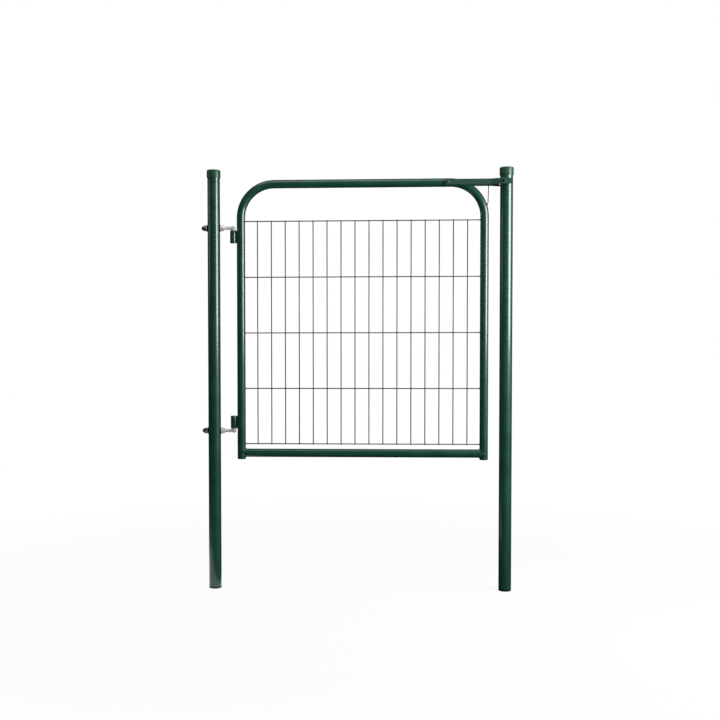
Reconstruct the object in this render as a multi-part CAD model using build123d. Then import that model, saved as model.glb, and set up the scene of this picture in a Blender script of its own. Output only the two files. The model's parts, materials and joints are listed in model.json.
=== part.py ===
from build123d import *
import math
import os

# Pedestrian garden gate: two round posts, a bent-tube leaf with welded wire mesh,
# two hook-and-barrel hinges and a fork latch. Millimetres, +Z up.
# The origin is the centre of the hinge post's foot. +X runs towards the latch post,
# and the front of the gate faces -Y.

# Posts
clear_opening = 1000.0
post_diameter = 45.0
post_wall = 1.5
post_above_leaf = 34.0

# Flat bands that make up one small rounded edge, and one dome
bands_per_rounding = 2
bands_per_dome = 5

# How near to a height an edge lies to count as being there
height_match = 0.01

# Plastic cap over each post and plastic plug under it
cap_wall = 2.0
cap_top = 2.5
cap_skirt = 24.5
cap_edge_radius = 3.0
cap_play = 0.25
foot_flange = 7.0
foot_edge_radius = 2.5
foot_spigot = 22.0
foot_spigot_wall = 2.5
plug_play = 0.2

# Leaf frame
frame_tube = 30.0
frame_wall = 1.5
latch_leg_gap = 39.5
bend_radius = 120.0
leaf_clearance_below = 470.0
leaf_height = 1003.0
bottom_rail_rise = 22.5
cope_gap = 0.1
leg_plug_flange = 4.0
leg_plug_edge_radius = 2.0
leg_plug_spigot = 16.0
leg_plug_wall = 2.0

# Welded mesh
mesh_wire = 4.0
mesh_wire_sides = 8
mesh_columns = 16
mesh_rows = 5
mesh_side_inset = 60.0
mesh_rise = 55.5
mesh_drop = 147.5
mesh_weld_depth = 0.6
mesh_overhang = 2.5

# Hinge hooks, held in the hinge post
hinge_axis_offset = 70.0
lower_hook_rise = 102.5
upper_hook_drop = 171.0
hook_rod = 12.0
hook_hole_play = 0.5
hook_knuckle = 16.0
hook_collar = 18.0
hook_collar_height = 3.0
hook_shoulder = 8.5
hook_pin_length = 40.0
hook_pin_chamfer = 1.5

# Hinge barrels, welded to the leaf
hinge_leg_offset = 28.0
barrel_diameter = 22.5
barrel_length = 45.0
barrel_play = 0.25
barrel_chamfer = 1.0
shoulder_gap = 0.3
web_thickness = 8.0
web_inset = 3.0

# Hook fixings
saddle_thickness = 2.0
saddle_diameter = 24.0
washer_thickness = 2.0
washer_diameter = 24.0
nut_across_flats = 19.0
nut_height = 10.0
nut_crown_angle = 30.0
dome_nut_height = 18.0
dome_nut_hex = 9.0
dome_nut_dome = 17.0
dome_nut_cavity = 14.0
thread_play = 0.05
rod_end_gap = 1.0

# Fork latch
latch_bar_height = 20.0
latch_bar_thickness = 4.0
latch_side_gap = 1.25
latch_tail = 10.0
latch_pivot_before_post = 208.5
latch_past_post_axis = 15.0
latch_corner_radius = 3.0
fork_post_gap = 7.5
joggle_start_before_post = 56.5
joggle_length = 36.0
joggle_radius = 12.0
fork_hole = 11.0
fork_hole_before_post = 17.0
pivot_rivet = 8.0
rivet_seat_play = 0.1
pivot_play = 0.2
rivet_head = 13.0
rivet_head_height = 2.5
rivet_head_round = 2.2
rivet_head_gap = 0.3
cross_pin = 8.0
cross_pin_before_post = 63.0

# Thin wire that the resting latch sits on
rest_wire = 3.0
rest_wire_gap = 0.3
rest_wire_foot_rise = 36.0
rest_wire_foot_depth = 5.0
rest_wire_kick = 7.0
rest_wire_kick_rise = 14.0
rest_wire_bend_radius = 12.0

# Derived places
post_radius = post_diameter / 2
latch_post_x = clear_opening + post_diameter
tube_radius = frame_tube / 2
hinge_axis_x = hinge_axis_offset
hinge_leg_x = hinge_axis_x + hinge_leg_offset
latch_leg_x = latch_post_x - post_radius - latch_leg_gap - tube_radius
leaf_bottom_z = leaf_clearance_below
leaf_top_z = leaf_bottom_z + leaf_height
leg_end_z = leaf_bottom_z + leg_plug_flange
top_rail_z = leaf_top_z - tube_radius
bottom_rail_z = leaf_bottom_z + bottom_rail_rise
post_base_z = foot_flange
post_top_z = leaf_top_z + post_above_leaf
lower_hook_z = leaf_bottom_z + lower_hook_rise
upper_hook_z = leaf_top_z - upper_hook_drop
hook_hole_radius = hook_rod / 2 + hook_hole_play
thread_radius = hook_rod / 2 + thread_play
saddle_x = post_radius + saddle_thickness
nut_x = saddle_x + washer_thickness
latch_pivot_x = latch_post_x - latch_pivot_before_post
cross_pin_x = latch_post_x - cross_pin_before_post
bar_inner_y = tube_radius + latch_side_gap
bar_middle_y = bar_inner_y + latch_bar_thickness / 2
bar_outer_y = bar_inner_y + latch_bar_thickness
fork_middle_y = post_radius + fork_post_gap + latch_bar_thickness / 2


def rod(start, end, radius):
    """A round bar between two points."""
    axis = Vector(*end) - Vector(*start)
    return extrude(Plane(origin=start, z_dir=axis) * Circle(radius), amount=axis.length)


def tube(start, end, outer, inner):
    """A round tube between two points."""
    return rod(start, end, outer) - rod(start, end, inner)


def turned(*profile):
    """A solid turned about Z from a closed profile of (radius, height) points."""
    return revolve(make_face(Plane.XZ * Polyline(*profile, close=True)), Axis.Z)


def arc_points(centre, radius, start_angle, end_angle, bands):
    """Points of a turning profile along an arc, with its angles in degrees from the radius."""
    points = []
    for step in range(bands + 1):
        angle = math.radians(start_angle + (end_angle - start_angle) * step / bands)
        reach = round(centre[0] + radius * math.cos(angle), 6)
        points.append((reach, round(centre[1] + radius * math.sin(angle), 6)))
    return points


def outer_edge_at(solid, height):
    """The largest circular edge at one height of a turned solid."""
    circles = solid.edges().filter_by(GeomType.CIRCLE)
    level = [edge for edge in circles if abs(edge.center().Z - height) < height_match]
    return max(level, key=lambda edge: edge.radius)


def across_rail(x, half_length, radius):
    """A round bar through the latch, level with the top rail and square to the gate."""
    return rod((x, -half_length, top_rail_z), (x, half_length, top_rail_z), radius)


def post_tube():
    return tube((0, 0, post_base_z), (0, 0, post_top_z), post_radius, post_radius - post_wall)


def hinge_post():
    """A post drilled across for the two hinge hooks."""
    post = post_tube()
    for height in (lower_hook_z, upper_hook_z):
        post -= rod((-post_diameter, 0, height), (post_diameter, 0, height), hook_hole_radius)
    return post


def post_cap():
    """A plastic cup that slips over a post's upper end."""
    bore = post_radius + cap_play
    outer = bore + cap_wall
    skirt_z = post_top_z - cap_skirt
    crown_z = post_top_z + cap_top
    edge_centre = (outer - cap_edge_radius, crown_z - cap_edge_radius)
    edge = arc_points(edge_centre, cap_edge_radius, 0, 90, bands_per_rounding)
    inside = [(0, post_top_z), (bore, post_top_z), (bore, skirt_z)]
    return turned(*inside, (outer, skirt_z), *edge, (0, crown_z))


def end_plug(outer, bore, flange, edge_radius, spigot, spigot_wall):
    """A plastic plug: a flange under a tube's end and a hollow spigot in the tube's bore."""
    fit = bore - plug_play
    hollow = fit - spigot_wall
    top = flange + spigot
    edge = arc_points((outer - edge_radius, edge_radius), edge_radius, -90, 0, bands_per_rounding)
    outside = [(0, 0), *edge, (outer, flange), (fit, flange), (fit, top)]
    return turned(*outside, (hollow, top), (hollow, flange), (0, flange))


def foot_plug():
    bore = post_radius - post_wall
    return end_plug(post_radius, bore, foot_flange, foot_edge_radius, foot_spigot, foot_spigot_wall)


def leg_plug():
    bore = tube_radius - frame_wall
    plug = end_plug(tube_radius, bore, leg_plug_flange, leg_plug_edge_radius, leg_plug_spigot, leg_plug_wall)
    return Pos(0, 0, leaf_bottom_z) * plug


def hinge_hook(height, up):
    """A rod through the post that ends in a knuckle, a collar and a pin, which points up or down."""
    radius = hook_rod / 2
    rod_start_x = -(nut_x + dome_nut_cavity - rod_end_gap)
    shoulder_z = height + up * hook_shoulder
    tip_z = shoulder_z + up * hook_pin_length
    shank = rod((rod_start_x, 0, height), (hinge_axis_x, 0, height), radius)
    ball = turned(*arc_points((0, 0), hook_knuckle / 2, -90, 90, 2 * bands_per_dome))
    knuckle = Pos(hinge_axis_x, 0, height) * ball
    collar_start = (hinge_axis_x, 0, shoulder_z - up * hook_collar_height)
    collar = rod(collar_start, (hinge_axis_x, 0, shoulder_z), hook_collar / 2)
    pin = rod((hinge_axis_x, 0, height), (hinge_axis_x, 0, tip_z), radius)
    pin = chamfer(outer_edge_at(pin, tip_z), hook_pin_chamfer)
    return shank + knuckle + collar + pin


def crowned_hex(height):
    """A hexagonal bar with its corners turned off at both ends."""
    flat = nut_across_flats / 2
    rim = flat / math.cos(math.pi / 6)
    crown = (rim - flat) * math.tan(math.radians(nut_crown_angle))
    outline = [(0, 0), (flat, 0), (rim, crown), (rim, height - crown), (flat, height), (0, height)]
    return extrude(RegularPolygon(flat, 6, major_radius=False), amount=height) & turned(*outline)


def hex_nut():
    """A hexagonal nut standing on the origin."""
    return crowned_hex(nut_height) - rod((0, 0, 0), (0, 0, nut_height), thread_radius)


def dome_nut():
    """A closed nut with a round dome, standing on the origin."""
    dome_radius = dome_nut_dome / 2
    dome_z = dome_nut_height - dome_radius
    neck_z = dome_nut_hex / 2
    crown = arc_points((0, dome_z), dome_radius, 0, 90, bands_per_dome)
    dome = turned((0, neck_z), (dome_radius, neck_z), *crown)
    cavity = rod((0, 0, 0), (0, 0, dome_nut_cavity), thread_radius)
    return crowned_hex(dome_nut_hex) + dome - cavity


def flat_washer():
    """A plain washer lying on the origin."""
    return tube((0, 0, 0), (0, 0, washer_thickness), washer_diameter / 2, hook_hole_radius)


def saddle_washer():
    """A washer with a flat face at the origin whose other face fits round the post."""
    wrap = saddle_x - math.sqrt(post_radius**2 - (saddle_diameter / 2) ** 2)
    disc = tube((0, 0, -wrap), (0, 0, 0), saddle_diameter / 2, hook_hole_radius)
    return disc - rod((0, -post_radius, -saddle_x), (0, post_radius, -saddle_x), post_radius + cope_gap)


def on_hook(piece, x, height):
    """Put a piece that stands on the origin on a hook's rod, facing away from the post."""
    side = 1 if x > 0 else -1
    return Plane(origin=(x, 0, height), x_dir=(0, side, 0), z_dir=(side, 0, 0)) * piece


def leg_cutter(x):
    """The space that a leaf leg takes, with room for a welded seat."""
    return rod((x, 0, leaf_bottom_z), (x, 0, top_rail_z), tube_radius + cope_gap)


def leaf_hoop():
    """One tube bent twice, which makes both legs and the top rail."""
    route = FilletPolyline(
        (hinge_leg_x, 0, leg_end_z),
        (hinge_leg_x, 0, top_rail_z),
        (latch_leg_x, 0, top_rail_z),
        (latch_leg_x, 0, leg_end_z),
        radius=bend_radius,
    )
    start = Plane(origin=route @ 0, z_dir=route % 0)
    outside = sweep(start * Circle(tube_radius), path=route)
    inside = sweep(start * Circle(tube_radius - frame_wall), path=route)
    rivet_hole = across_rail(latch_pivot_x, frame_tube, pivot_rivet / 2 + rivet_seat_play)
    return outside - inside - rivet_hole


def bottom_rail():
    """A tube between the legs with its ends coped to their round faces."""
    start = (hinge_leg_x, 0, bottom_rail_z)
    end = (latch_leg_x, 0, bottom_rail_z)
    rail = tube(start, end, tube_radius, tube_radius - frame_wall)
    return rail - leg_cutter(hinge_leg_x) - leg_cutter(latch_leg_x)


def mesh_panel():
    """Upright wires welded across the front of level wires, which run from leg to leg."""
    radius = mesh_wire / 2
    half_turn = 180 / mesh_wire_sides
    flat = radius * math.cos(math.pi / mesh_wire_sides)
    upright_y = -(2 * flat - mesh_weld_depth)
    low_z = leaf_bottom_z + mesh_rise
    high_z = leaf_top_z - mesh_drop
    row_pitch = (high_z - low_z) / (mesh_rows - 1)
    first_x = hinge_leg_x + mesh_side_inset
    last_x = latch_leg_x - mesh_side_inset
    column_pitch = (last_x - first_x) / (mesh_columns - 1)
    level_start_x = hinge_leg_x + tube_radius + cope_gap
    level_end_x = latch_leg_x - tube_radius - cope_gap
    section = RegularPolygon(radius, mesh_wire_sides, rotation=half_turn)
    wires = []
    for row in range(mesh_rows):
        foot = (level_start_x, 0, low_z + row * row_pitch)
        start = Plane(origin=foot, x_dir=(0, 1, 0), z_dir=(1, 0, 0))
        wires.append(extrude(start * section, amount=level_end_x - level_start_x))
    for column in range(mesh_columns):
        foot = (first_x + column * column_pitch, upright_y, low_z - mesh_overhang)
        wires.append(extrude(Plane(origin=foot) * section, amount=high_z - low_z + 2 * mesh_overhang))
    return wires[0].fuse(*wires[1:])


def hinge_barrel(base_z):
    """A short tube that turns on a hook's pin, joined to its leg by a welded web."""
    outer = barrel_diameter / 2
    bore = hook_rod / 2 + barrel_play
    top_z = base_z + barrel_length
    axis_base = (hinge_axis_x, 0, base_z)
    axis_top = (hinge_axis_x, 0, top_z)
    sleeve = rod(axis_base, axis_top, outer)
    sleeve = chamfer([outer_edge_at(sleeve, base_z), outer_edge_at(sleeve, top_z)], barrel_chamfer)
    web_height = barrel_length - 2 * web_inset
    web = Box(hinge_leg_offset, web_thickness, web_height, align=(Align.MIN, Align.CENTER, Align.MIN))
    web = Pos(hinge_axis_x, 0, base_z + web_inset) * web
    return sleeve + web - rod(axis_base, axis_top, bore) - leg_cutter(hinge_leg_x)


def latch_bar(side):
    """A flat bar that runs beside the top rail and steps outwards to pass beside the latch post."""
    tail_x = latch_pivot_x - latch_tail
    joggle_start_x = latch_post_x - joggle_start_before_post
    joggle_end_x = joggle_start_x + joggle_length
    tip_x = latch_post_x + latch_past_post_axis
    route = FilletPolyline(
        (tail_x, side * bar_middle_y, top_rail_z),
        (joggle_start_x, side * bar_middle_y, top_rail_z),
        (joggle_end_x, side * fork_middle_y, top_rail_z),
        (tip_x, side * fork_middle_y, top_rail_z),
        radius=joggle_radius,
    )
    start = Plane(origin=route @ 0, x_dir=(0, 1, 0), z_dir=(1, 0, 0))
    bar = sweep(start * Rectangle(latch_bar_thickness, latch_bar_height), path=route)
    bar = fillet(bar.edges().filter_by(Axis.Y), latch_corner_radius)
    reach = 2 * fork_middle_y
    pivot_hole = across_rail(latch_pivot_x, reach, pivot_rivet / 2 + pivot_play)
    end_hole = across_rail(latch_post_x - fork_hole_before_post, reach, fork_hole / 2)
    return bar - pivot_hole - end_hole


def latch_pivot():
    """A rivet through the top rail and both latch bars, with a low round head at each end."""
    head_y = bar_outer_y + rivet_head_gap
    shank = across_rail(latch_pivot_x, head_y, pivot_rivet / 2)
    edge_centre = (rivet_head / 2 - rivet_head_round, rivet_head_height - rivet_head_round)
    edge = arc_points(edge_centre, rivet_head_round, 0, 90, bands_per_rounding)
    head = turned((0, 0), (rivet_head / 2, 0), *edge, (0, rivet_head_height))
    front = Plane(origin=(latch_pivot_x, -head_y, top_rail_z), z_dir=(0, -1, 0)) * head
    rear = Plane(origin=(latch_pivot_x, head_y, top_rail_z), z_dir=(0, 1, 0)) * head
    return shank + front + rear


def latch_cross_pin():
    """A short pin welded between the bars, which holds them together."""
    return across_rail(cross_pin_x, bar_inner_y, cross_pin / 2)


def latch_rest_wire():
    """A wire welded to the outside of the bend, which stands up under the cross pin."""
    bend_x = latch_leg_x - bend_radius
    bend_z = top_rail_z - bend_radius
    outer_radius = bend_radius + tube_radius
    foot_reach = math.sqrt(outer_radius**2 - rest_wire_foot_rise**2)
    foot_x = bend_x + foot_reach - rest_wire_foot_depth
    foot_z = bend_z + rest_wire_foot_rise
    top_z = top_rail_z - cross_pin / 2 - rest_wire_gap
    route = FilletPolyline(
        (foot_x, 0, foot_z),
        (foot_x + rest_wire_kick, 0, foot_z + rest_wire_kick_rise),
        (cross_pin_x, 0, top_z),
        radius=rest_wire_bend_radius,
    )
    wire = sweep(Plane(origin=route @ 0, z_dir=route % 0) * Circle(rest_wire / 2), path=route)
    bend = Pos(bend_x, 0, bend_z) * Rot(90, 0, 0) * Torus(bend_radius, tube_radius + cope_gap)
    return wire - bend


def gate():
    """Every piece of the gate, by name."""
    lower_barrel_z = lower_hook_z + hook_shoulder + shoulder_gap
    upper_barrel_z = upper_hook_z - hook_shoulder - shoulder_gap - barrel_length
    pieces = {
        "hinge_post": hinge_post(),
        "latch_post": Pos(latch_post_x, 0, 0) * post_tube(),
        "hinge_post_cap": post_cap(),
        "latch_post_cap": Pos(latch_post_x, 0, 0) * post_cap(),
        "hinge_post_foot": foot_plug(),
        "latch_post_foot": Pos(latch_post_x, 0, 0) * foot_plug(),
        "leaf_hoop": leaf_hoop(),
        "bottom_rail": bottom_rail(),
        "hinge_leg_plug": Pos(hinge_leg_x, 0, 0) * leg_plug(),
        "latch_leg_plug": Pos(latch_leg_x, 0, 0) * leg_plug(),
        "mesh_panel": mesh_panel(),
        "lower_hinge_barrel": hinge_barrel(lower_barrel_z),
        "upper_hinge_barrel": hinge_barrel(upper_barrel_z),
        "latch_pivot": latch_pivot(),
        "latch_rest_wire": latch_rest_wire(),
        "front_latch_bar": latch_bar(-1),
        "rear_latch_bar": latch_bar(1),
        "latch_cross_pin": latch_cross_pin(),
        "lower_hinge_hook": hinge_hook(lower_hook_z, 1),
        "upper_hinge_hook": hinge_hook(upper_hook_z, -1),
    }
    for name, height in (("lower", lower_hook_z), ("upper", upper_hook_z)):
        pieces[name + "_outer_saddle"] = on_hook(saddle_washer(), -saddle_x, height)
        pieces[name + "_inner_saddle"] = on_hook(saddle_washer(), saddle_x, height)
        pieces[name + "_outer_washer"] = on_hook(flat_washer(), -saddle_x, height)
        pieces[name + "_inner_washer"] = on_hook(flat_washer(), saddle_x, height)
        pieces[name + "_dome_nut"] = on_hook(dome_nut(), -nut_x, height)
        pieces[name + "_hex_nut"] = on_hook(hex_nut(), nut_x, height)
    return pieces


os.makedirs("parts", exist_ok=True)
for name, piece in gate().items():
    export_step(piece, "parts/" + name + ".step")
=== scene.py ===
import json
import math

import bpy
from mathutils import Matrix, Vector


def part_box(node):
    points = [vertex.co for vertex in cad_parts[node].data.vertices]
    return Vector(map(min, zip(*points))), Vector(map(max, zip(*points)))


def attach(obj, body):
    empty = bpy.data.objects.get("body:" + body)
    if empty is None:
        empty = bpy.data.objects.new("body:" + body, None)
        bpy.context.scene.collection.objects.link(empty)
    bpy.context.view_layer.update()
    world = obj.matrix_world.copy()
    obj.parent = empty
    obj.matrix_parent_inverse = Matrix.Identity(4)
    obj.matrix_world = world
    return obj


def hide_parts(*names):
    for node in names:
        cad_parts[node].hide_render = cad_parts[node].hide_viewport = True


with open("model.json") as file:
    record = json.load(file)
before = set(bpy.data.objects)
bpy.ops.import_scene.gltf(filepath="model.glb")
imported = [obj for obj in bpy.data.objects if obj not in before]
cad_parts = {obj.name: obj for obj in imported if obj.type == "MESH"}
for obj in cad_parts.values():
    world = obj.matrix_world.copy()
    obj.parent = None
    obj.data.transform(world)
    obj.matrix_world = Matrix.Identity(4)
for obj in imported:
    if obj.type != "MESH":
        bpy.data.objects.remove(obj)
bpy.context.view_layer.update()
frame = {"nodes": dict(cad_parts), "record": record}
nodes = frame["nodes"]
bpy.ops.object.select_all(action="DESELECT")

MM = 0.001


# ---------------------------------------------------------------- materials


def hex_colour(code):
    """An sRGB hex colour as a linear colour with full alpha."""
    channels = []
    for start in (1, 3, 5):
        value = int(code[start : start + 2], 16) / 255
        channels.append(value / 12.92 if value <= 0.04045 else ((value + 0.055) / 1.055) ** 2.4)
    return (*channels, 1.0)


def add_node(tree, kind, inputs=None, **settings):
    """Add a shader node; each input takes a plain value or another node's output socket."""
    node = tree.nodes.new("ShaderNode" + kind)
    for name, value in settings.items():
        setattr(node, name, value)
    for name, value in (inputs or {}).items():
        if isinstance(value, bpy.types.NodeSocket):
            tree.links.new(value, node.inputs[name])
        else:
            node.inputs[name].default_value = value
    return node


def new_material(name):
    """An empty node material with its output and its object coordinates."""
    material = bpy.data.materials.new(name)
    material.use_nodes = True
    tree = material.node_tree
    tree.nodes.clear()
    output = add_node(tree, "OutputMaterial")
    place = add_node(tree, "TexCoord").outputs["Object"]
    return material, tree, output, place


def cells_per_metre(size_mm):
    """The scale of a pattern whose features are this many millimetres across."""
    return 1000 / size_mm


# Blender's noise stays mostly between these two values.
NOISE_LOW = 0.35
NOISE_HIGH = 0.65


def surface(name, tones, tone_size, rough, rough_size, grain_size, grain_depth, **sockets):
    """A material with two close tones, uneven roughness and a fine relief in millimetres."""
    material, tree, output, place = new_material(name)
    tone_noise = add_node(tree, "TexNoise", {"Vector": place, "Scale": cells_per_metre(tone_size)})
    tone_share = add_node(
        tree, "MapRange",
        {"Value": tone_noise.outputs["Fac"], "From Min": NOISE_LOW, "From Max": NOISE_HIGH},
    )
    first, second = (hex_colour(tone) for tone in tones)
    colour = add_node(
        tree, "Mix", {0: tone_share.outputs["Result"], 6: first, 7: second}, data_type="RGBA"
    )
    rough_noise = add_node(
        tree, "TexNoise", {"Vector": place, "Scale": cells_per_metre(rough_size)}
    )
    roughness = add_node(
        tree, "MapRange",
        {
            "Value": rough_noise.outputs["Fac"], "From Min": NOISE_LOW, "From Max": NOISE_HIGH,
            "To Min": rough[0], "To Max": rough[1],
        },
    )
    grain = add_node(tree, "TexNoise", {"Vector": place, "Scale": cells_per_metre(grain_size)})
    bump = add_node(
        tree, "Bump",
        {"Height": grain.outputs["Fac"], "Distance": grain_depth * MM, "Strength": 1.0},
    )
    shader = add_node(
        tree, "BsdfPrincipled",
        {
            "Base Color": colour.outputs[2], "Roughness": roughness.outputs["Result"],
            "Normal": bump.outputs["Normal"], **sockets,
        },
    )
    tree.links.new(shader.outputs["BSDF"], output.inputs["Surface"])
    return material


# Polyester powder coat on steel tube, baked: deep moss green, a hard clear-looking gloss that
# draws sharp upright highlights, with the slow, very faint waviness of a baked powder coat.
gloss_coat = surface(
    "powder_coat_gloss_moss_green",
    ("#0a4432", "#104d39"), 60, (0.38, 0.44), 60, 30.0, 0.002,
    **{"Coat Weight": 1.0, "Coat Roughness": 0.17},
)

# The same powder on flat bar as a flat satin green without a clear gloss, painted lighter than on
# the tubes: painted light for the light its flat face catches.
satin_coat_painted_lighter = surface(
    "powder_coat_satin_painted_lighter",
    ("#25483a", "#2b4e40"), 40, (0.34, 0.42), 18, 4.0, 0.003,
)

# Powder coat over zinc-coated drawn wire: the film is thin, so the wire looks greyer.
wire_coat = surface(
    "powder_coat_on_drawn_wire",
    ("#1d3a30", "#2a4a3e"), 30, (0.32, 0.42), 12, 1.5, 0.008,
)

# Injection-moulded polyethylene cap: a satin, slightly greyer green with a fine moulded grain.
cap_plastic = surface(
    "moulded_polyethylene_green",
    ("#224c37", "#28533d"), 30, (0.34, 0.42), 10, 0.8, 0.012,
)

# Injection-moulded polyethylene plugs: near black and satin, with tone and roughness that vary at
# random.
plug_plastic = surface(
    "moulded_polyethylene_black",
    ("#0d1412", "#1a2420"), 15, (0.42, 0.58), 6, 0.7, 0.015,
)

# Moulded saddle washers in black nylon, duller than the coat beside them.
saddle_plastic = surface(
    "moulded_nylon_black",
    ("#0b0f0d", "#151c19"), 12, (0.45, 0.60), 5, 0.6, 0.012,
)

# Bright zinc electroplate on turned and forged steel: pale and slightly warm, only half mirrored.
# The other half is plain near-white paint, a painted reflection of white surroundings.
zinc_plate = surface(
    "zinc_electroplate_painted_white_reflection",
    ("#f0ebe8", "#fbf8f6"), 8, (0.42, 0.52), 3, 0.8, 0.006,
    Metallic=0.5,
)

# Zinc on the dome nuts, painted a dark olive grey: the darkness is a painted reflection of dark
# surroundings.
dome_zinc_painted_dark = surface(
    "zinc_painted_dark_reflection",
    ("#5f6052", "#717264"), 6, (0.30, 0.42), 3, 0.8, 0.006,
    Metallic=0.6,
)

# Drawn spring steel wire, dark with its drawing oxide, with a dull metal sheen.
steel_wire = surface(
    "drawn_steel_wire",
    ("#2a2b29", "#363735"), 10, (0.30, 0.42), 3, 0.5, 0.006,
    Metallic=1.0,
)

FINISHES = {
    "post_coating": gloss_coat,
    "leaf_coating": gloss_coat,
    "latch_coating": satin_coat_painted_lighter,
    "wire_coating": wire_coat,
    "cap_plastic": cap_plastic,
    "foot_plastic": plug_plastic,
    "plug_plastic": plug_plastic,
    "saddle_plastic": saddle_plastic,
    "zinc_plate": zinc_plate,
    "dome_nut_zinc": dome_zinc_painted_dark,
    "rest_wire_steel": steel_wire,
}

for part in frame["record"]["subparts"]:
    for material_slot in nodes[part["node"]].material_slots:
        material_slot.material = FINISHES[part["material_slot"]]


# ---------------------------------------------------------------- modelling helpers

MERGE_DISTANCE = 0.002
FLAT_ANGLE = math.radians(1)
SHARP_ANGLE = math.radians(40)
SMALLEST_RING = 0.05


def in_edit_mode(*steps):
    """Run mesh operators on everything in the active piece."""
    bpy.ops.object.mode_set(mode="EDIT")
    bpy.ops.mesh.select_all(action="SELECT")
    for step in steps:
        step()
    bpy.ops.object.mode_set(mode="OBJECT")


def make_active(piece):
    """Select one piece only, and make it active."""
    bpy.ops.object.select_all(action="DESELECT")
    piece.select_set(True)
    bpy.context.view_layer.objects.active = piece


def outward():
    """Turn the selected faces to look outwards."""
    bpy.ops.mesh.normals_make_consistent(inside=False)


def merged():
    """Merge vertices that lie on each other."""
    bpy.ops.mesh.remove_doubles(threshold=MERGE_DISTANCE * MM)


def flat_faces():
    """Make one face of all triangles that lie in one plane."""
    bpy.ops.mesh.dissolve_limited(angle_limit=FLAT_ANGLE)


def apply_modifier(piece, kind, **settings):
    """Add one modifier to the active piece and apply it."""
    bpy.ops.object.modifier_add(type=kind)
    modifier = piece.modifiers[-1]
    for name, value in settings.items():
        setattr(modifier, name, value)
    bpy.ops.object.modifier_apply(modifier=modifier.name)


def turn_profile(profile, sides=48):
    """A closed solid turned about Z, drawn out of a disc ring by ring. Sizes in millimetres."""
    radius, height = profile[0]
    bpy.ops.mesh.primitive_circle_add(
        vertices=sides, radius=radius * MM, fill_type="NGON", location=(0, 0, height * MM)
    )
    piece = bpy.context.object
    bpy.ops.object.transform_apply(location=True)
    bpy.ops.object.mode_set(mode="EDIT")
    bpy.ops.mesh.select_all(action="SELECT")
    for next_radius, next_height in profile[1:]:
        rise = (next_height - height) * MM
        bpy.ops.mesh.extrude_region_move(TRANSFORM_OT_translate={"value": (0, 0, rise)})
        if next_radius != radius:
            grow = next_radius / radius
            bpy.ops.transform.resize(
                value=(grow, grow, 1), center_override=(0, 0, next_height * MM)
            )
        radius, height = next_radius, next_height
    bpy.ops.mesh.select_all(action="SELECT")
    outward()
    bpy.ops.object.mode_set(mode="OBJECT")
    return piece


def arc_profile(centre, radius, start, end, steps):
    """Points of a turning profile along an arc, angles in degrees."""
    points = []
    for step in range(steps + 1):
        angle = math.radians(start + (end - start) * step / steps)
        reach = centre[0] + radius * math.cos(angle)
        points.append((max(reach, SMALLEST_RING), centre[1] + radius * math.sin(angle)))
    return points


def place_piece(piece, position, turn=(0, 0, 0)):
    """Turn a piece about the origin in degrees, move it in millimetres, and settle it there."""
    piece.rotation_euler = [math.radians(angle) for angle in turn]
    piece.location = Vector(position) * MM
    make_active(piece)
    bpy.ops.object.transform_apply(location=True, rotation=True, scale=True)
    return piece


def copy_of(piece, shift=(0, 0, 0)):
    """A copy with its own mesh, moved by a step in millimetres."""
    twin = piece.copy()
    twin.data = piece.data.copy()
    bpy.context.scene.collection.objects.link(twin)
    twin.location = Vector(shift) * MM
    make_active(twin)
    bpy.ops.object.transform_apply(location=True)
    return twin


def join_pieces(pieces):
    """One piece made of several."""
    bpy.ops.object.select_all(action="DESELECT")
    for piece in pieces:
        piece.select_set(True)
    bpy.context.view_layer.objects.active = pieces[0]
    bpy.ops.object.join()
    return bpy.context.object


def hand_over(piece, name, body, slot, *replaced, smooth=35):
    """Finish a piece: name, shading, material, the body it rides on and what it stands for."""
    piece.name = name
    make_active(piece)
    bpy.ops.object.shade_smooth_by_angle(angle=math.radians(smooth))
    piece.data.materials.clear()
    piece.data.materials.append(FINISHES[slot])
    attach(piece, body)
    if replaced:
        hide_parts(*replaced)
    bpy.ops.object.select_all(action="DESELECT")
    return piece


def softened(node_name, name, body, slot, width, smooth=35):
    """A copy of a CAD piece with its sharp edges rounded, as rolling and coating leave them."""
    source = nodes[node_name]
    piece = bpy.data.objects.new(name, source.data.copy())
    bpy.context.scene.collection.objects.link(piece)
    make_active(piece)
    in_edit_mode(merged, flat_faces)
    apply_modifier(
        piece, "BEVEL", width=width * MM, segments=2, limit_method="ANGLE",
        angle_limit=SHARP_ANGLE, use_clamp_overlap=True,
    )
    return hand_over(piece, name, body, slot, node_name, smooth=smooth)


# ---------------------------------------------------------------- sizes, in millimetres

LATCH_POST_X = 1045.0
HINGE_LEG_X = 98.0
LATCH_LEG_X = 968.0
HINGE_AXIS_X = 70.0
LOWER_HOOK_Z = 572.5
UPPER_HOOK_Z = 1302.0
TOP_RAIL_Z = 1458.0
BOTTOM_RAIL_Z = 492.5
TUBE_RADIUS = 15.0
POST_TOP_Z = 1507.0


# ---------------------------------------------------------------- post caps

CAP_BORE = 22.75
CAP_OUTER = 24.74
CAP_SKIRT_Z = 1482.5
CAP_TOP_Z = 1509.5
CAP_EDGE = 3.0
CAP_LIP = 0.5
GATE_MARK_RADIUS = 3.0
GATE_MARK_DEPTH = 0.5
GATE_MARK_SLOPE = 0.4
GATE_MARK_MIDDLE = 1.0


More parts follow.
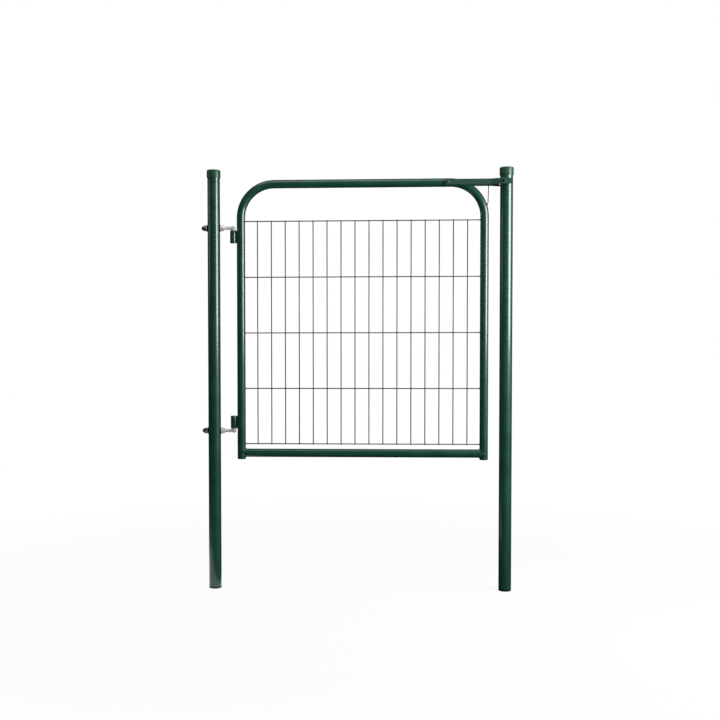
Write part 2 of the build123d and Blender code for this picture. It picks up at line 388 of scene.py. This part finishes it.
def post_cap(x, name, node_name):
    """A cup moulded in one piece: a rounded crown, a small lip round the skirt and a gate mark."""
    lip = arc_profile((CAP_OUTER - CAP_LIP, CAP_SKIRT_Z + CAP_LIP), CAP_LIP, -90, 0, steps=3)
    crown = arc_profile((CAP_OUTER - CAP_EDGE, CAP_TOP_Z - CAP_EDGE), CAP_EDGE, 0, 90, steps=7)
    inside = [(CAP_BORE, POST_TOP_Z), (CAP_BORE, CAP_SKIRT_Z)]
    mark = [
        (GATE_MARK_RADIUS + GATE_MARK_SLOPE, CAP_TOP_Z),
        (GATE_MARK_RADIUS, CAP_TOP_Z - GATE_MARK_DEPTH),
        (GATE_MARK_MIDDLE, CAP_TOP_Z - GATE_MARK_DEPTH),
    ]
    cap = turn_profile([*inside, *lip, *crown, *mark], sides=72)
    place_piece(cap, (x, 0, 0))
    return hand_over(cap, name, "posts", "cap_plastic", node_name)


post_cap(0.0, "hinge_post_cap_moulding", "hinge_post_cap")
post_cap(LATCH_POST_X, "latch_post_cap_moulding", "latch_post_cap")


# ---------------------------------------------------------------- hinge hooks and dome nuts

THREAD_PITCH = 1.75
THREAD_CREST = 5.95
THREAD_ROOT = 4.95
# One turn of the thread: the radius at each share of the pitch.
THREAD_TURN = ((THREAD_ROOT, 0.45), (THREAD_ROOT, 0.55), (THREAD_CREST, 0.95), (THREAD_CREST, 1.0))
ROD_START_X = -39.5
ROD_CHAMFER = 1.0
THREAD_START_X = 36.0
THREAD_END_X = 58.0
THREAD_RUNOUT = 1.5
KNUCKLE_RADIUS = 7.9
KNUCKLE_NECK_ANGLE = 38
COLLAR_RADIUS = 9.0
COLLAR_EDGE = 0.6
PIN_RADIUS = 6.0
SHOULDER = 8.5
COLLAR_HEIGHT = 3.0
PIN_LENGTH = 40.0
PIN_CHAMFER = 1.5


def hinge_hook(height, pin_up, name, node_name):
    """A threaded shank, forged into a knuckle that carries a collar and a turned pin."""
    shank = [
        (THREAD_ROOT, ROD_START_X),
        (THREAD_CREST, ROD_START_X + ROD_CHAMFER),
        (THREAD_CREST, THREAD_START_X),
    ]
    turns = round((THREAD_END_X - THREAD_START_X) / THREAD_PITCH)
    for step in range(turns):
        start = THREAD_START_X + step * THREAD_PITCH
        shank += [(radius, start + share * THREAD_PITCH) for radius, share in THREAD_TURN]
    shank += [(PIN_RADIUS, THREAD_END_X + THREAD_RUNOUT), (PIN_RADIUS, HINGE_AXIS_X)]
    rod = turn_profile(shank, sides=32)
    place_piece(rod, (0, 0, height), (0, 90, 0))
    knuckle = arc_profile((0, 0), KNUCKLE_RADIUS, -89, KNUCKLE_NECK_ANGLE, steps=12)
    collar_z = SHOULDER - COLLAR_HEIGHT
    edge_middle = COLLAR_RADIUS - COLLAR_EDGE
    collar = arc_profile((edge_middle, collar_z + COLLAR_EDGE), COLLAR_EDGE, -90, 0, steps=3)
    collar += arc_profile((edge_middle, SHOULDER - COLLAR_EDGE), COLLAR_EDGE, 0, 90, steps=3)
    tip_z = SHOULDER + PIN_LENGTH
    pin = [
        (PIN_RADIUS, SHOULDER),
        (PIN_RADIUS, tip_z - PIN_CHAMFER),
        (PIN_RADIUS - PIN_CHAMFER, tip_z),
    ]
    head = turn_profile([*knuckle, *collar, *pin], sides=40)
    place_piece(head, (HINGE_AXIS_X, 0, height), (0 if pin_up else 180, 0, 0))
    hook = join_pieces([rod, head])
    return hand_over(hook, name, "posts", "zinc_plate", node_name)


hinge_hook(LOWER_HOOK_Z, True, "lower_threaded_hook", "lower_hinge_hook")
hinge_hook(UPPER_HOOK_Z, False, "upper_threaded_hook", "upper_hinge_hook")

NUT_FACE_X = -26.5
NUT_FLAT = 9.5
NUT_RIM = NUT_FLAT / math.cos(math.pi / 6)
NUT_CROWN = (NUT_RIM - NUT_FLAT) * math.tan(math.radians(30))
DOME_NUT_HEX = 9.0
DOME_NUT_HEIGHT = 18.0
DOME_RADIUS = 8.5
HEX_OVERCUT = 0.01


def dome_nut(height, name, node_name):
    """A hexagon with turned corners under a pressed dome, on the far side of the hinge post."""
    bpy.ops.mesh.primitive_cylinder_add(
        vertices=6, radius=NUT_RIM * MM, depth=DOME_NUT_HEX * MM,
        location=(0, 0, DOME_NUT_HEX / 2 * MM),
    )
    hexagon = bpy.context.object
    bpy.ops.object.transform_apply(location=True)
    crown_profile = [
        (NUT_FLAT, -HEX_OVERCUT),
        (NUT_RIM, NUT_CROWN),
        (NUT_RIM, DOME_NUT_HEX - NUT_CROWN),
        (NUT_FLAT, DOME_NUT_HEX + HEX_OVERCUT),
    ]
    crown = turn_profile(crown_profile, sides=60)
    make_active(hexagon)
    apply_modifier(hexagon, "BOOLEAN", operation="INTERSECT", object=crown, solver="EXACT")
    bpy.data.objects.remove(crown)
    dome_z = DOME_NUT_HEIGHT - DOME_RADIUS
    bowl = arc_profile((0, dome_z), DOME_RADIUS, 0, 89, steps=14)
    dome = turn_profile([(DOME_RADIUS, DOME_NUT_HEX / 2), *bowl], sides=48)
    nut = join_pieces([hexagon, dome])
    place_piece(nut, (NUT_FACE_X, 0, height), (0, -90, 0))
    return hand_over(nut, name, "posts", "dome_nut_zinc", node_name)


dome_nut(LOWER_HOOK_Z, "lower_pressed_dome_nut", "lower_dome_nut")
dome_nut(UPPER_HOOK_Z, "upper_pressed_dome_nut", "upper_dome_nut")

NUT_ROUNDING = 0.25
BARREL_ROUNDING = 0.5
WASHER_ROUNDING = 0.3

for level in ("lower", "upper"):
    softened(level + "_hex_nut", level + "_turned_nut", "posts", "zinc_plate", NUT_ROUNDING)
    barrel = level + "_hinge_barrel"
    softened(barrel, level + "_turned_barrel", "leaf", "leaf_coating", BARREL_ROUNDING)
    for side in ("outer", "inner"):
        washer = level + "_" + side + "_washer"
        softened(washer, washer + "_pressed", "posts", "zinc_plate", WASHER_ROUNDING)


# ---------------------------------------------------------------- latch

BAR_ROUNDING = 0.6
# The joggle is a crisp bend of about 20 degrees, so only flatter edges are shaded smooth.
BAR_SMOOTH = 18

for side in ("front", "rear"):
    softened(
        side + "_latch_bar", side + "_rolled_bar", "latch", "latch_coating", BAR_ROUNDING,
        smooth=BAR_SMOOTH,
    )

RIVET_X = 836.5
RIVET_SHANK_RADIUS = 4.9
RIVET_HEAD_RADIUS = 6.5
RIVET_FACE_Y = 20.25
RIVET_HEAD_HEIGHT = 2.8

crown_radius = (RIVET_HEAD_RADIUS**2 + RIVET_HEAD_HEIGHT**2) / (2 * RIVET_HEAD_HEIGHT)
half_angle = math.degrees(math.asin(RIVET_HEAD_RADIUS / crown_radius))
crown_middle = RIVET_FACE_Y + RIVET_HEAD_HEIGHT - crown_radius
far_head = arc_profile((0, crown_middle), crown_radius, 90 - half_angle, 89.5, steps=7)
near_head = [(radius, -height) for radius, height in reversed(far_head)]
rivet_shank = [(RIVET_SHANK_RADIUS, -RIVET_FACE_Y), (RIVET_SHANK_RADIUS, RIVET_FACE_Y)]
rivet = turn_profile([*near_head, *rivet_shank, *far_head], sides=40)
place_piece(rivet, (RIVET_X, 0, TOP_RAIL_Z), (90, 0, 0))
hand_over(rivet, "domed_latch_rivet", "leaf", "latch_coating", "latch_pivot")


# ---------------------------------------------------------------- welded mesh

WIRE_RADIUS = 1.92
MESH_FIRST_X = 158.0
MESH_PITCH_X = 50.0
MESH_COLUMNS = 16
MESH_LOW_Z = 525.5
MESH_PITCH_Z = 200.0
MESH_ROWS = 5
MESH_OVERHANG = 2.4
UPRIGHT_Y = -3.1
UPRIGHT_END_ROUND = 0.5
LEVEL_END_ROUND = 0.1
WELD_GAP = 0.1
CROSSING_NUGGET = (4.6, 3.4, 4.6)
LEG_NUGGET = (3.0, 5.6, 5.6)
LEG_NUGGET_INSET = 0.6
WIRE_SMOOTH = 50


def wire(length, end_round):
    """A drawn wire with its cropped ends slightly rounded, standing on the origin."""
    radius = WIRE_RADIUS
    profile = [(radius - end_round, 0), (radius, end_round), (radius, length - end_round)]
    return turn_profile([*profile, (radius - end_round, length)], sides=14)


def nugget(width, depth, height):
    """A small melted lump, with its middle on the origin."""
    bpy.ops.mesh.primitive_cube_add(size=1.0)
    lump = bpy.context.object
    bpy.ops.object.mode_set(mode="EDIT")
    bpy.ops.mesh.select_all(action="SELECT")
    bpy.ops.mesh.subdivide(number_cuts=2, smoothness=1.0)
    bpy.ops.mesh.vertices_smooth(factor=0.4)
    bpy.ops.object.mode_set(mode="OBJECT")
    widest = max(lump.dimensions)
    make_active(lump)
    lump.scale = [size * MM / widest for size in (width, depth, height)]
    bpy.ops.object.transform_apply(scale=True)
    return lump


mesh_height = (MESH_ROWS - 1) * MESH_PITCH_Z
upright = wire(mesh_height + 2 * MESH_OVERHANG, UPRIGHT_END_ROUND)
place_piece(upright, (MESH_FIRST_X, UPRIGHT_Y, MESH_LOW_Z - MESH_OVERHANG))
wires = [upright]
for column in range(1, MESH_COLUMNS):
    wires.append(copy_of(upright, (column * MESH_PITCH_X, 0, 0)))
level_start = HINGE_LEG_X + TUBE_RADIUS + WELD_GAP
level_length = LATCH_LEG_X - HINGE_LEG_X - 2 * (TUBE_RADIUS + WELD_GAP)
level_wire = wire(level_length, LEVEL_END_ROUND)
place_piece(level_wire, (level_start, 0, MESH_LOW_Z), (0, 90, 0))
wires.append(level_wire)
for row in range(1, MESH_ROWS):
    wires.append(copy_of(level_wire, (0, 0, row * MESH_PITCH_Z)))
crossing = nugget(*CROSSING_NUGGET)
place_piece(crossing, (MESH_FIRST_X, UPRIGHT_Y / 2, MESH_LOW_Z))
for column in range(MESH_COLUMNS):
    for row in range(MESH_ROWS):
        wires.append(copy_of(crossing, (column * MESH_PITCH_X, 0, row * MESH_PITCH_Z)))
bpy.data.objects.remove(crossing)
wire_weld = nugget(*LEG_NUGGET)
place_piece(wire_weld, (level_start + LEG_NUGGET_INSET, 0, MESH_LOW_Z))
weld_reach = level_length - 2 * LEG_NUGGET_INSET
for row in range(MESH_ROWS):
    wires.append(copy_of(wire_weld, (0, 0, row * MESH_PITCH_Z)))
    wires.append(copy_of(wire_weld, (weld_reach, 0, row * MESH_PITCH_Z)))
bpy.data.objects.remove(wire_weld)
mesh = join_pieces(wires)
hand_over(mesh, "welded_wires", "leaf", "wire_coating", "mesh_panel", smooth=WIRE_SMOOTH)


# ---------------------------------------------------------------- weld beads

RAIL_BEAD_RADIUS = 1.7
BARREL_BEAD_RADIUS = 2.3
BARREL_BEAD_OFFSET = (81.7, 5.2)
BEAD_SMOOTH = 60
RIPPLE_PITCH = 1.6
RIPPLE_DEPTH = 0.16
# The rounded ends of a bead: shares of its radius, each with its distance from the end.
BEAD_START = ((0.5, 0.6), (0.9, 1.2))
BEAD_END = (0.5, 0.8)
REST_WELD_NUGGET = (6.0, 5.0, 4.0)
REST_WELD_OFFSET = (1.5, 1.2)


def rail_weld(leg_x, side, name):
    """The fillet weld round the coped end of the bottom rail: two half rings at 45 degrees."""
    bpy.ops.mesh.primitive_torus_add(
        major_segments=72, minor_segments=10, rotation=(0, math.pi / 2, 0),
        major_radius=TUBE_RADIUS * MM, minor_radius=RAIL_BEAD_RADIUS * MM,
    )
    bead = bpy.context.object
    bpy.ops.object.transform_apply(rotation=True)
    bpy.ops.object.mode_set(mode="EDIT")
    bpy.ops.mesh.select_all(action="SELECT")
    bpy.ops.transform.resize(value=(1, 1, math.sqrt(2)), center_override=(0, 0, 0))
    bpy.ops.object.mode_set(mode="OBJECT")
    place_piece(bead, (0, 0, 0), (0, side * 45, 0))
    bpy.ops.object.mode_set(mode="EDIT")
    bpy.ops.mesh.select_all(action="SELECT")
    bpy.ops.mesh.bisect(plane_co=(0, 0, 0), plane_no=(0, 0, 1), clear_inner=True, threshold=1e-7)
    bpy.ops.object.mode_set(mode="OBJECT")
    apply_modifier(bead, "MIRROR", use_axis=(False, False, True), merge_threshold=0.01 * MM)
    in_edit_mode(merged, outward)
    place_piece(bead, (leg_x, 0, BOTTOM_RAIL_Z))
    return hand_over(bead, name, "leaf", "leaf_coating", smooth=BEAD_SMOOTH)


def barrel_weld(base_z, length, front, name):
    """A run of weld ripples up one side of the seam between a hinge barrel and its leg."""
    ripples = round((length - 2 * RIPPLE_PITCH) / RIPPLE_PITCH)
    crest, root = BARREL_BEAD_RADIUS, BARREL_BEAD_RADIUS - RIPPLE_DEPTH
    profile = [(share * crest, height) for share, height in BEAD_START]
    for step in range(ripples):
        start = RIPPLE_PITCH * (step + 1)
        profile += [(crest, start + 0.5 * RIPPLE_PITCH), (root, start + RIPPLE_PITCH)]
    end_share, end_height = BEAD_END
    profile.append((end_share * crest, RIPPLE_PITCH * (ripples + 1) + end_height))
    bead = turn_profile(profile, sides=16)
    x, y = BARREL_BEAD_OFFSET
    place_piece(bead, (x, -front * y, base_z))
    return hand_over(bead, name, "leaf", "leaf_coating", smooth=BEAD_SMOOTH)


rail_weld(HINGE_LEG_X, 1, "hinge_leg_rail_weld")
rail_weld(LATCH_LEG_X, -1, "latch_leg_rail_weld")
for level in ("lower", "upper"):
    barrel_low, barrel_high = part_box(level + "_hinge_barrel")
    base_z = barrel_low[2] / MM
    length = (barrel_high[2] - barrel_low[2]) / MM
    for front, face in ((1, "front"), (-1, "back")):
        barrel_weld(base_z, length, front, level + "_barrel_" + face + "_weld")

rest_low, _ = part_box("latch_rest_wire")
foot_weld = nugget(*REST_WELD_NUGGET)
right_by, up_by = REST_WELD_OFFSET
place_piece(foot_weld, (rest_low[0] / MM + right_by, 0, rest_low[2] / MM + up_by))
hand_over(foot_weld, "rest_wire_weld", "leaf", "leaf_coating", smooth=BEAD_SMOOTH)


# ---------------------------------------------------------------- studio

# The camera stands 3.6 m in front of the gate at waist height and looks slightly down and to the
# left, with its picture moved a little to the side and up.
CAMERA_PLACE = Vector((0.559, -3.5929, 0.8733))
CAMERA_YAW = math.radians(2.821)
CAMERA_PITCH = math.radians(-1.870)
CAMERA_ROLL = math.radians(0.070)
CAMERA_LENS = 50.0
CAMERA_SHIFT = (0.0556, 0.0278)
SENSOR_WIDTH = 36.0
GATE_MIDDLE_X = 0.53

aim = Matrix.Rotation(CAMERA_YAW, 3, "Z")
aim = aim @ Matrix.Rotation(CAMERA_PITCH, 3, "X") @ Matrix.Rotation(CAMERA_ROLL, 3, "Y")
right, forward, up = aim.col
camera_data = bpy.data.cameras.new("camera")
camera_data.lens = CAMERA_LENS
camera_data.shift_x, camera_data.shift_y = CAMERA_SHIFT
camera_data.sensor_width = SENSOR_WIDTH
camera = bpy.data.objects.new("camera", camera_data)
bpy.context.scene.collection.objects.link(camera)
camera.matrix_world = Matrix.Translation(CAMERA_PLACE) @ Matrix(
    (right, up, -forward)
).transposed().to_4x4()
bpy.context.scene.camera = camera


def soft_box(name, place, target, width, height, radiance):
    """A rectangular studio light that faces a point, with its brightness as the eye sees it."""
    data = bpy.data.lights.new(name, "AREA")
    data.shape = "RECTANGLE"
    data.size = width
    data.size_y = height
    data.energy = radiance * math.pi * width * height
    lamp = bpy.data.objects.new(name, data)
    bpy.context.scene.collection.objects.link(lamp)
    lamp.location = place
    lamp.rotation_euler = (Vector(target) - Vector(place)).to_track_quat("-Z", "Y").to_euler()
    return lamp


# The key light draws the white line down the right half of each tube, and ends where the line
# fades on the lower half of the gate.
KEY_HEIGHT = 1.47
soft_box(
    "key_light", place=(2.62, -1.10, KEY_HEIGHT), target=(0.40, 0.0, KEY_HEIGHT),
    width=1.20, height=1.16, radiance=14.5,
)
# A narrow strip far to the left gives the hinge post its thin grey line on that side.
STRIP_HEIGHT = 1.50
soft_box(
    "left_strip", place=(-1.9, -0.15, STRIP_HEIGHT), target=(0.0, 0.0, STRIP_HEIGHT),
    width=0.30, height=0.55, radiance=3.6,
)
# A weak light overhead lifts the upper side of the top rail and the crowns of the caps.
soft_box(
    "top_light", place=(0.5, -0.28, 2.25), target=(0.5, 0.0, 1.46),
    width=1.5, height=0.5, radiance=1.9,
)

# The world is white to the camera, to mirrors and through glass, and lights the gate less.
AMBIENT = 0.45

world = bpy.data.worlds.new("studio")
world.use_nodes = True
bpy.context.scene.world = world
world_tree = world.node_tree
world_tree.nodes.clear()
seen = add_node(world_tree, "LightPath")
mirrored = add_node(
    world_tree, "Math",
    {0: seen.outputs["Is Camera Ray"], 1: seen.outputs["Is Glossy Ray"]}, operation="MAXIMUM",
)
shown = add_node(
    world_tree, "Math",
    {0: mirrored.outputs[0], 1: seen.outputs["Is Transmission Ray"]}, operation="MAXIMUM",
)
strength = add_node(
    world_tree, "MapRange", {"Value": shown.outputs[0], "To Min": AMBIENT, "To Max": 1.0}
)
backdrop = add_node(
    world_tree, "Background",
    {"Color": (1.0, 1.0, 1.0, 1.0), "Strength": strength.outputs["Result"]},
)
world_output = add_node(world_tree, "OutputWorld")
world_tree.links.new(backdrop.outputs[0], world_output.inputs["Surface"])

# The floor is white to the camera, and the share of plain paint in it keeps a faint trace of the
# gate's shadow. The paint sends less light back to the gate than the camera sees in it.
FLOOR_SIZE = 24.0
PAINT_SEEN = 0.79
PAINT_LIGHTING = 0.30
GLOW_NEAR = 0.92
GLOW_NEAR_RADIUS = 1.0
GLOW_FULL_RADIUS = 2.2

bpy.ops.mesh.primitive_plane_add(size=FLOOR_SIZE, location=(0.5, 0.0, 0.0))
floor = bpy.context.object
floor.name = "floor"
floor_paint, tree, output, place = new_material("studio_floor_white")
seen = add_node(tree, "LightPath")
mirrored = add_node(
    tree, "Math",
    {0: seen.outputs["Is Camera Ray"], 1: seen.outputs["Is Glossy Ray"]}, operation="MAXIMUM",
)
paleness = add_node(
    tree, "MapRange",
    {
        "Value": seen.outputs["Is Diffuse Ray"],
        "To Min": PAINT_SEEN, "To Max": PAINT_LIGHTING,
    },
)
matte = add_node(tree, "BsdfDiffuse", {"Color": paleness.outputs["Result"]})
glow = add_node(tree, "Emission", {"Color": (1.0, 1.0, 1.0, 1.0), "Strength": 1.0})
reach = add_node(tree, "VectorMath", {0: place}, operation="LENGTH")
far_share = add_node(
    tree, "MapRange",
    {
        "Value": reach.outputs["Value"],
        "From Min": GLOW_NEAR_RADIUS, "From Max": GLOW_FULL_RADIUS,
        "To Min": GLOW_NEAR, "To Max": 1.0,
    },
)
share = add_node(
    tree, "Math",
    {0: mirrored.outputs[0], 1: far_share.outputs["Result"]}, operation="MULTIPLY",
)
paint = add_node(tree, "MixShader", {0: share.outputs[0], 1: matte.outputs[0], 2: glow.outputs[0]})
tree.links.new(paint.outputs[0], output.inputs["Surface"])
floor.data.materials.append(floor_paint)

# Black cloth stands round the set, hangs over it and lies on the floor, all but a small patch of
# bare floor round the foot of the hinge post. Only glossy reflections see it. Without it the white
# surroundings would veil the green in grey.
CLOTH_RADIUS = 4.2
CLOTH_TOP = 4.6
BARE_FLOOR_RADIUS = 0.45
BARE_FLOOR_X = -0.35
CLOTH_LIFT = 0.002

bpy.ops.mesh.primitive_cylinder_add(
    vertices=64, radius=CLOTH_RADIUS, depth=CLOTH_TOP, end_fill_type="NGON",
    location=(GATE_MIDDLE_X, 0.0, CLOTH_TOP / 2 + CLOTH_LIFT),
)
cloth = bpy.context.object
cloth.name = "black_cloth"
bpy.ops.object.transform_apply(location=True)
bpy.ops.object.mode_set(mode="EDIT")
bpy.ops.mesh.select_mode(type="FACE")
bpy.ops.mesh.select_all(action="DESELECT")
bpy.ops.object.mode_set(mode="OBJECT")
for face in cloth.data.polygons:
    face.select = face.normal.z < -0.9
bpy.ops.object.mode_set(mode="EDIT")
bpy.ops.mesh.inset(thickness=CLOTH_RADIUS - BARE_FLOOR_RADIUS)
bpy.ops.transform.translate(value=(BARE_FLOOR_X - GATE_MIDDLE_X, 0, 0))
bpy.ops.mesh.delete(type="FACE")
bpy.ops.object.mode_set(mode="OBJECT")
cloth_black, tree, output, _ = new_material("black_cloth")
matte = add_node(tree, "BsdfDiffuse", {"Color": hex_colour("#0a0a0a")})
tree.links.new(matte.outputs[0], output.inputs["Surface"])
cloth.data.materials.append(cloth_black)
cloth.visible_camera = False
cloth.visible_diffuse = False
cloth.visible_shadow = False
cloth.visible_transmission = False

bpy.context.scene.view_settings.view_transform = "Standard"
